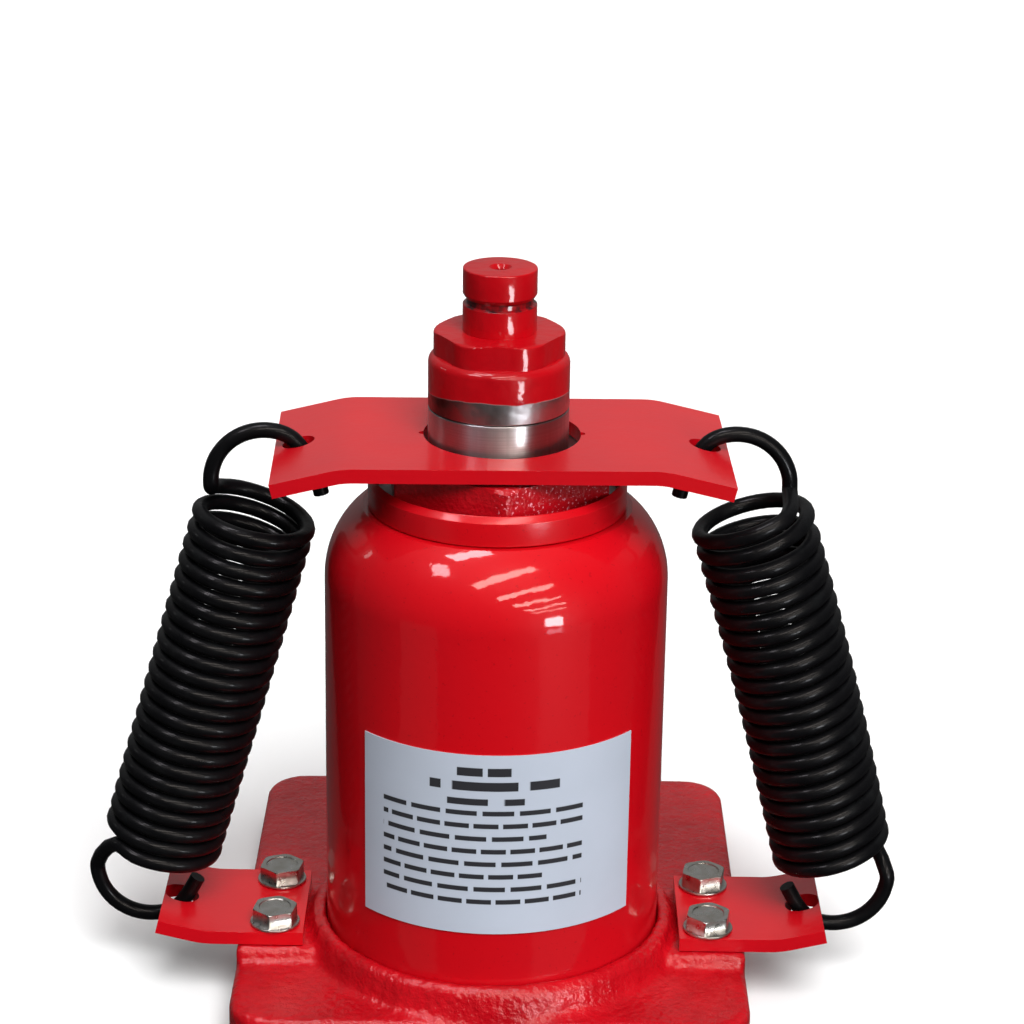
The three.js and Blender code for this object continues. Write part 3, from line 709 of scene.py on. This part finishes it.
def strip(name, start, bend_at, end, turn, width, thick, material, mirrored):
    """A strip that bends by 13.6 degrees near bend_at, up or down by turn, and at both ends if mirrored."""
    bend, radius, steps = math.radians(13.6), 30.0, 10
    line = [(start, 0.0, 0.0)]
    for i in range(steps + 1):
        part = bend * i / steps
        line.append((bend_at - radius * math.tan(bend / 2) + radius * math.sin(part),
                     turn * radius * (1 - math.cos(part)), turn * part))
    x, z, slope = line[-1]
    line.append((end, z + (end - x) * math.tan(slope), slope))
    if mirrored:
        line = [(-x, z, -slope) for x, z, slope in reversed(line[1:])] + line[1:]
    half = thick / 2
    points, faces = [], []
    for x, z, slope in line:
        for side in (-1, 1):
            for y in (-width / 2, width / 2):
                over = side * half
                points.append((x - over * math.sin(slope), y, z + half + over * math.cos(slope)))
    for i in range(len(line) - 1):
        a, b = 4 * i, 4 * (i + 1)
        faces += [(a, a + 1, b + 1, b), (a + 2, b + 2, b + 3, a + 3)]
        faces += [(a, b, b + 2, a + 2), (a + 1, a + 3, b + 3, b + 1)]
    last = 4 * (len(line) - 1)
    faces += [(0, 2, 3, 1), (last, last + 1, last + 3, last + 2)]
    return build(name, points, faces, material)


def return_plate():
    """A strip bent down at both ends, with a ram hole, two small notches and two hook holes."""
    material = plate_enamel()
    item = strip("plate", 0, 48.5, 69.8, -1, 69.8, PLATE_THICK, material, True)
    holes = [rod("hole", 24.4, -20, 20, material, facets=160)]
    for side in (-1, 1):
        holes.append(placed(rod("hook_hole", 5, -20, 20, material, facets=48), x=63 * side))
        holes.append(placed(rod("notch", 1.4, -20, 20, material, facets=16), x=24.4 * side))
    joined(item, *holes, operation="DIFFERENCE")
    applied(softened(item, 0.8, segments=4))
    placed(item, about="Z", degrees=1.3)
    placed(item, x=1.2, z=PLATE_LOW)
    stands_for(item, "return_plate", "ram")


# ---------------------------------------------------------------- springs and brackets

WIRE_R, COIL_R, HOOK_R = 2.5, 17.1, 17.0
POINTS_PER_TURN, WIRE_SIDES = 12, 14
TOP_COIL, BOTTOM_COIL = (77.4, 162.0, 2.1), (109.2, 46.4, 1.4)
TOP_HOOK, BOTTOM_HOOK = (73.2, 172.0, 1.0), (112.0, 37.4, 0.0)


def hook(side, centre, up, tips, y):
    """Hook points from the coil out to the tip."""
    x, z, shift = centre
    outline = []
    for degrees in range(-4, 109, 16):
        turn = math.radians(degrees)
        outline.append((-HOOK_R * math.cos(turn), HOOK_R * math.sin(turn)))
    outline += [(8.9, 14.1), (12.4, 9.6), (15.6, 3.7), (17.4, -3.6)][:tips]
    return [Vector((side * (x - inboard) + shift, y, z + up * beyond)) for inboard, beyond in outline]


def coil(side, start, turns, lead, bow):
    """Coil points from top to bottom, the first turn drawn up by lead and the middle moved right by bow."""
    top = Vector((side * TOP_COIL[0] + TOP_COIL[2], 0, TOP_COIL[1]))
    bottom = Vector((side * BOTTOM_COIL[0] + BOTTOM_COIL[2], 0, BOTTOM_COIL[1]))
    down, rear = (bottom - top).normalized(), Vector((0, 1, 0))
    outward = down.cross(rear) * side
    count = round(turns * POINTS_PER_TURN)
    points = []
    for i in range(count + 1):
        turn = turns * i / count
        angle = start - side * turn * 2 * math.pi
        rise = lead * (max(0.0, 1 - turn / 0.4) ** 2 + math.exp(-((turn - 0.8) / 0.33) ** 2))
        centre = top.lerp(bottom, turn / turns) - down * rise
        centre.x += bow * math.sin(math.pi * turn / turns)
        points.append(centre + outward * (COIL_R * math.cos(angle)) + rear * (COIL_R * math.sin(angle)))
    return points


def smooth_path(points, weights, steps):
    """A centripetal Catmull-Rom curve through the points, with the weights along it."""
    ends = [points[0] * 2 - points[1], *points, points[-1] * 2 - points[-2]]
    path, shares = [], []
    for i in range(len(points) - 1):
        p = ends[i:i + 4]
        knots = [0.0]
        for a, b in zip(p, p[1:]):
            knots.append(knots[-1] + max(math.sqrt((b - a).length), 1e-6))
        for step in range(steps):
            t = knots[1] + (knots[2] - knots[1]) * step / steps
            a = [p[k].lerp(p[k + 1], (t - knots[k]) / (knots[k + 1] - knots[k])) for k in range(3)]
            b = [a[k].lerp(a[k + 1], (t - knots[k]) / (knots[k + 2] - knots[k])) for k in range(2)]
            path.append(b[0].lerp(b[1], (t - knots[1]) / (knots[2] - knots[1])))
            shares.append(weights[i] + (weights[i + 1] - weights[i]) * step / steps)
    return path + [points[-1]], shares + [weights[-1]]


def wire(name, path, radius, sides, material):
    """A round wire along a path, its ends cut square."""
    points, faces = [], []
    across = None
    for i, place in enumerate(path):
        ahead = (path[min(i + 1, len(path) - 1)] - path[max(i - 1, 0)]).normalized()
        across = across or ahead.orthogonal()
        across = (across - ahead * across.dot(ahead)).normalized()
        over = ahead.cross(across)
        for k in range(sides):
            turn = 2 * math.pi * k / sides
            points.append(place + radius * (across * math.cos(turn) + over * math.sin(turn)))
    for i in range(len(path) - 1):
        for k in range(sides):
            a, b = i * sides + k, i * sides + (k + 1) % sides
            faces.append((a, b, b + sides, a + sides))
    faces += [tuple(reversed(range(sides))), tuple(range(len(points) - sides, len(points)))]
    return build(name, points, faces, material, 50)


def return_spring(name, side, material):
    """One hooked wire between the bracket and the plate."""
    if side < 0:
        start, turns, lead, bow = math.radians(35), 21.806, 0.6, 0.0
    else:
        start, turns, lead, bow = math.radians(-50), 21.722, 2.5, 1.2
    hook_y = side * 63 * math.sin(math.radians(1.3))
    upper = hook(side, TOP_HOOK, 1, 4, hook_y)[::-1]
    coils = coil(side, start, turns, lead, bow)
    lower = hook(side, BOTTOM_HOOK, -1, 3, 0)
    easing = [1 - i / (len(coils) - 1) for i in range(len(coils))]
    weights = [1.0] * len(upper) + easing + [0.0] * len(lower)
    path, shares = smooth_path(upper + coils + lower, weights, 3)
    item = wire(name, path, WIRE_R, WIRE_SIDES, material)
    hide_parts(f"{name.split('_')[0]}_return_spring")
    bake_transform(item)


def spring_bracket(side):
    """A strip bent up at its outer end, with a hook hole and two bolt holes."""
    name = "left" if side < 0 else "right"
    material = plate_enamel()
    item = strip(f"{name}_bracket", 60.6, 93, 107.6, 1, 44, 4.5, material, False)
    holes = [placed(rod("hook_hole", 5.6, -20, 20, material, facets=48), x=101.8)]
    holes += [placed(rod("bolt_hole", 4.4, -20, 20, material, facets=32), x=70, y=y) for y in (-15, 15)]
    joined(item, *holes, operation="DIFFERENCE")
    applied(softened(item, 0.5))
    placed(item, about="Z", degrees=180 if side < 0 else 0)
    placed(item, z=BRACKET_LOW)
    stands_for(item, f"{name}_spring_bracket", "root")


def bracket_bolt(node, material):
    """A hexagon head with a recessed top, on a washer and a shank."""
    centre = (low(node) + high(node)) / 2
    top = high(node).z - 5.6
    outline = [(0, 0), (7.6, 0), (7.6, 5.6, 0.8), (5.2, 5.6, 0.2), (4.9, 5.3), (0, 5.3)]
    hexed = turned(f"{node}_hexed", outline, material, 120, hexagon_limit(13, 0.4, 0.35))
    shank = rod(f"{node}_shank", 3.9, -16, 0.5, material)
    washer = turned(f"{node}_washer", [(0, 0), (8, 0, 0.1), (8, 0.7, 0.25), (0, 0.7)], material, 64)
    item = joined(hexed, shank, washer)
    item.name = f"{node}_piece"
    placed(item, x=centre.x, y=centre.y, z=top)
    stands_for(item, node, "root")


def label():
    """A thin film wrapped on the tank's front."""
    bottom, top = low("front_label").z, high("front_label").z
    first, last, columns, rows = math.radians(-136.7), math.radians(-38.7), 72, 8
    inner, outer = TANK_R + 0.12, TANK_R + 0.4
    points, faces = [], []
    for radius in (inner, outer):
        for i in range(columns + 1):
            turn = first + (last - first) * i / columns
            for k in range(rows + 1):
                height = bottom + (top - bottom) * k / rows
                points.append((radius * math.cos(turn), radius * math.sin(turn), height))
    skin = (columns + 1) * (rows + 1)
    for i in range(columns):
        for k in range(rows):
            a = i * (rows + 1) + k
            b = a + rows + 1
            faces += [(a, a + 1, b + 1, b), (a + skin, b + skin, b + skin + 1, a + skin + 1)]
    rim = [i * (rows + 1) for i in range(columns + 1)]
    rim += [columns * (rows + 1) + k for k in range(1, rows + 1)]
    rim += [i * (rows + 1) + rows for i in range(columns - 1, -1, -1)]
    rim += list(range(rows - 1, 0, -1))
    for a, b in zip(rim, rim[1:] + rim[:1]):
        faces.append((a, b, b + skin, a + skin))
    stands_for(build("label", points, faces, label_film(), 40), "front_label", "root")


# ---------------------------------------------------------------- pump, pins and valve


def pump_cylinder(material):
    """A cast-iron barrel on a hexagon, screwed into the base."""
    foot, top = low("pump_cylinder").z, high("pump_cylinder").z
    outline = [(6.8, foot), (9.9, foot, 0.6), (9.9, 41), (13.6, 41), (13.6, 48.6), (14, 48.6),
               (14, top - 1.5, 1), (12.5, top, 0.6), (8.2, top), (6.8, top - 1.2)]
    shank = turned("pump_barrel", outline, material, 96)
    outline = [(7.5, 40.3), (15.9, 40.3), (17.2, 41.4), (17.2, 47.9), (15.9, 49), (7.5, 49)]
    hexed = turned("pump_hexagon", outline, material, 192, hexagon_limit(30, 0.8))
    item = joined(shank, hexed)
    placed(item, y=PUMP_Y)
    stands_for(item, "pump_cylinder", "root")


def pump_plunger(material):
    """A ground plunger with a seal groove and a flat-sided eye."""
    foot = low("pump_plunger").z
    stem = turned("plunger_stem", [(0, foot), (6.5, foot, 0.5), (6.5, 25.8, 0.2), (4.8, 25.8), (4.8, 29.2),
                                   (6.5, 29.2, 0.2), (6.5, EYE_Z), (0, EYE_Z)], material, 72)
    eye = rod("eye", 8.5, -6.2, 6.2, material, "X", 72)
    placed(eye, z=EYE_Z)
    hole = placed(rod("hole", 4.3, -20, 20, material, "X", 48), z=EYE_Z)
    sides = [placed(box_piece("side", (10, 30, 90), material), x=11.2 * side, z=70) for side in (-1, 1)]
    item = joined(joined(stem, eye), hole, *sides, operation="DIFFERENCE")
    applied(softened(item, 0.3))
    placed(item, y=PUMP_Y)
    stands_for(item, "pump_plunger", "plunger")


def box_piece(name, size, material):
    """A block centred on the origin."""
    half = [length / 2 for length in size]
    points = [(x * half[0], y * half[1], z * half[2]) for x in (-1, 1) for y in (-1, 1) for z in (-1, 1)]
    faces = [(0, 1, 3, 2), (4, 6, 7, 5), (0, 4, 5, 1), (2, 3, 7, 6), (0, 2, 6, 4), (1, 5, 7, 3)]
    return build(name, points, faces, material)


def headed_pin(node, body, material):
    """A pin with a domed head, a clip groove and a chamfered end, along X."""
    start, end = low(node), high(node)
    middle = (start + end) / 2
    head_r = (end.z - start.z) / 2
    radius = head_r - 2
    outline = [(0, start.x), (head_r - 0.8, start.x, 0.3), (head_r, start.x + 0.7, 0.4),
               (head_r, start.x + 2.5, 0.2), (radius, start.x + 2.5), (radius, end.x - 3.4, 0.15),
               (radius - 0.9, end.x - 3.4), (radius - 0.9, end.x - 1.8), (radius, end.x - 1.8, 0.15),
               (radius, end.x - 0.6), (radius - 0.6, end.x), (0, end.x)]
    item = turned(f"{node}_piece", outline, material, 64)
    placed(item, about="Y", degrees=90)
    placed(item, y=middle.y, z=middle.z)
    stands_for(item, node, body)


def release_spindle(material):
    """The valve screw: cone point, seal groove, slotted head."""
    centre = (low("release_spindle") + high("release_spindle")) / 2
    start, end = low("release_spindle").y, high("release_spindle").y
    outline = [(0, start), (3, start, 0.3), (6, start + 3.4, 0.3), (6, 110, 0.15), (4.7, 110), (4.7, 113),
               (6, 113, 0.15), (6, 124), (8, 125, 0.3), (8, end - 1, 0.3), (7, end, 0.3), (0, end)]
    item = turned("release_screw", outline, material, 96)
    placed(item, about="X", degrees=-90)
    slot = placed(box_piece("slot", (18, 10, 4), material), y=end)
    joined(item, slot, operation="DIFFERENCE")
    placed(item, x=centre.x, z=centre.z)
    stands_for(item, "release_spindle", "release_screw")


def filler_plug(material):
    """A moulded plug with a gripped rim."""
    start, end = low("filler_plug"), high("filler_plug")
    outline = [(0, 0), (3.4, 0, 0.3), (5.2, 2.5, 0.3), (5.2, 3.6, 0.2), (4.2, 4.2), (4.2, 8.6),
               (8, 8.6, 0.4), (8, 11.2, 0.5), (6.6, 12.5, 0.8), (4, 12.5, 0.4), (3.4, 11.6, 0.3), (0, 11.6)]
    item = turned("oil_plug", outline, material, 96)
    placed(item, about="X", degrees=-90)
    placed(item, y=start.y, z=(start.z + end.z) / 2)
    stands_for(item, "filler_plug", "root")


# ---------------------------------------------------------------- the pieces that keep their CAD shape


def cast_skin(node, voxel, rounds):
    """Rounds a casting's corners and fills its inner ones, as sand casting does."""
    item = frame["nodes"][node]
    skin = item.modifiers.new("skin", "REMESH")
    skin.mode = "VOXEL"
    skin.voxel_size = voxel * MM
    skin.use_smooth_shade = True
    ease = item.modifiers.new("ease", "SMOOTH")
    ease.factor = 0.5
    ease.iterations = rounds


def finish_rest():
    """Materials and small rounded edges on every other CAD node."""
    finishes = {
        "cast_red": cast_enamel("cast_enamel", 0.3, 420).material,
        "red_paint": plate_enamel(),
        "bright_steel": turned_steel("ground_steel"),
        "dark_steel": dark_steel(),
        "zinc": zinc_plate(),
        "black_spring": spring_black(),
        "rubber": rubber(),
        "urethane": urethane(),
        "copper": copper(),
    }
    slots = {part["node"]: part["material_slot"] for part in frame["record"]["subparts"]}
    for node, item in frame["nodes"].items():
        if slots[node] not in finishes:
            continue
        item.data.materials.clear()
        item.data.materials.append(finishes[slots[node]])
        if not item.modifiers:
            softened(item, 0.35 if slots[node] == "cast_red" else 0.2, 30, 2)


# ---------------------------------------------------------------- the scene

camera()
floor()
backdrop()
world()
lights()
bpy.context.scene.view_settings.view_transform = "Standard"

tank()
lock_ring()
gland_nut()
ram()
head()
return_plate()
black = spring_black()
return_spring("left_spring_wire", -1, black)
return_spring("right_spring_wire", 1, black)
spring_bracket(-1)
spring_bracket(1)
metal, bolt_zinc, ground = dark_steel("pump_iron"), zinc_plate(), turned_steel("plunger_steel")
pump_cylinder(metal)
pump_plunger(ground)
headed_pin("plunger_pin", "plunger", bolt_zinc)
headed_pin("link_top_pin", "socket", bolt_zinc)
headed_pin("link_base_pin", "root", bolt_zinc)
release_spindle(bolt_zinc)
filler_plug(rubber())
for bolt in ("left_front", "left_rear", "right_front", "right_rear"):
    bracket_bolt(f"{bolt}_bracket_bolt", bolt_zinc)
label()
cast_skin("base_casting", 1.3, 5)
cast_skin("handle_socket", 0.8, 14)
finish_rest()
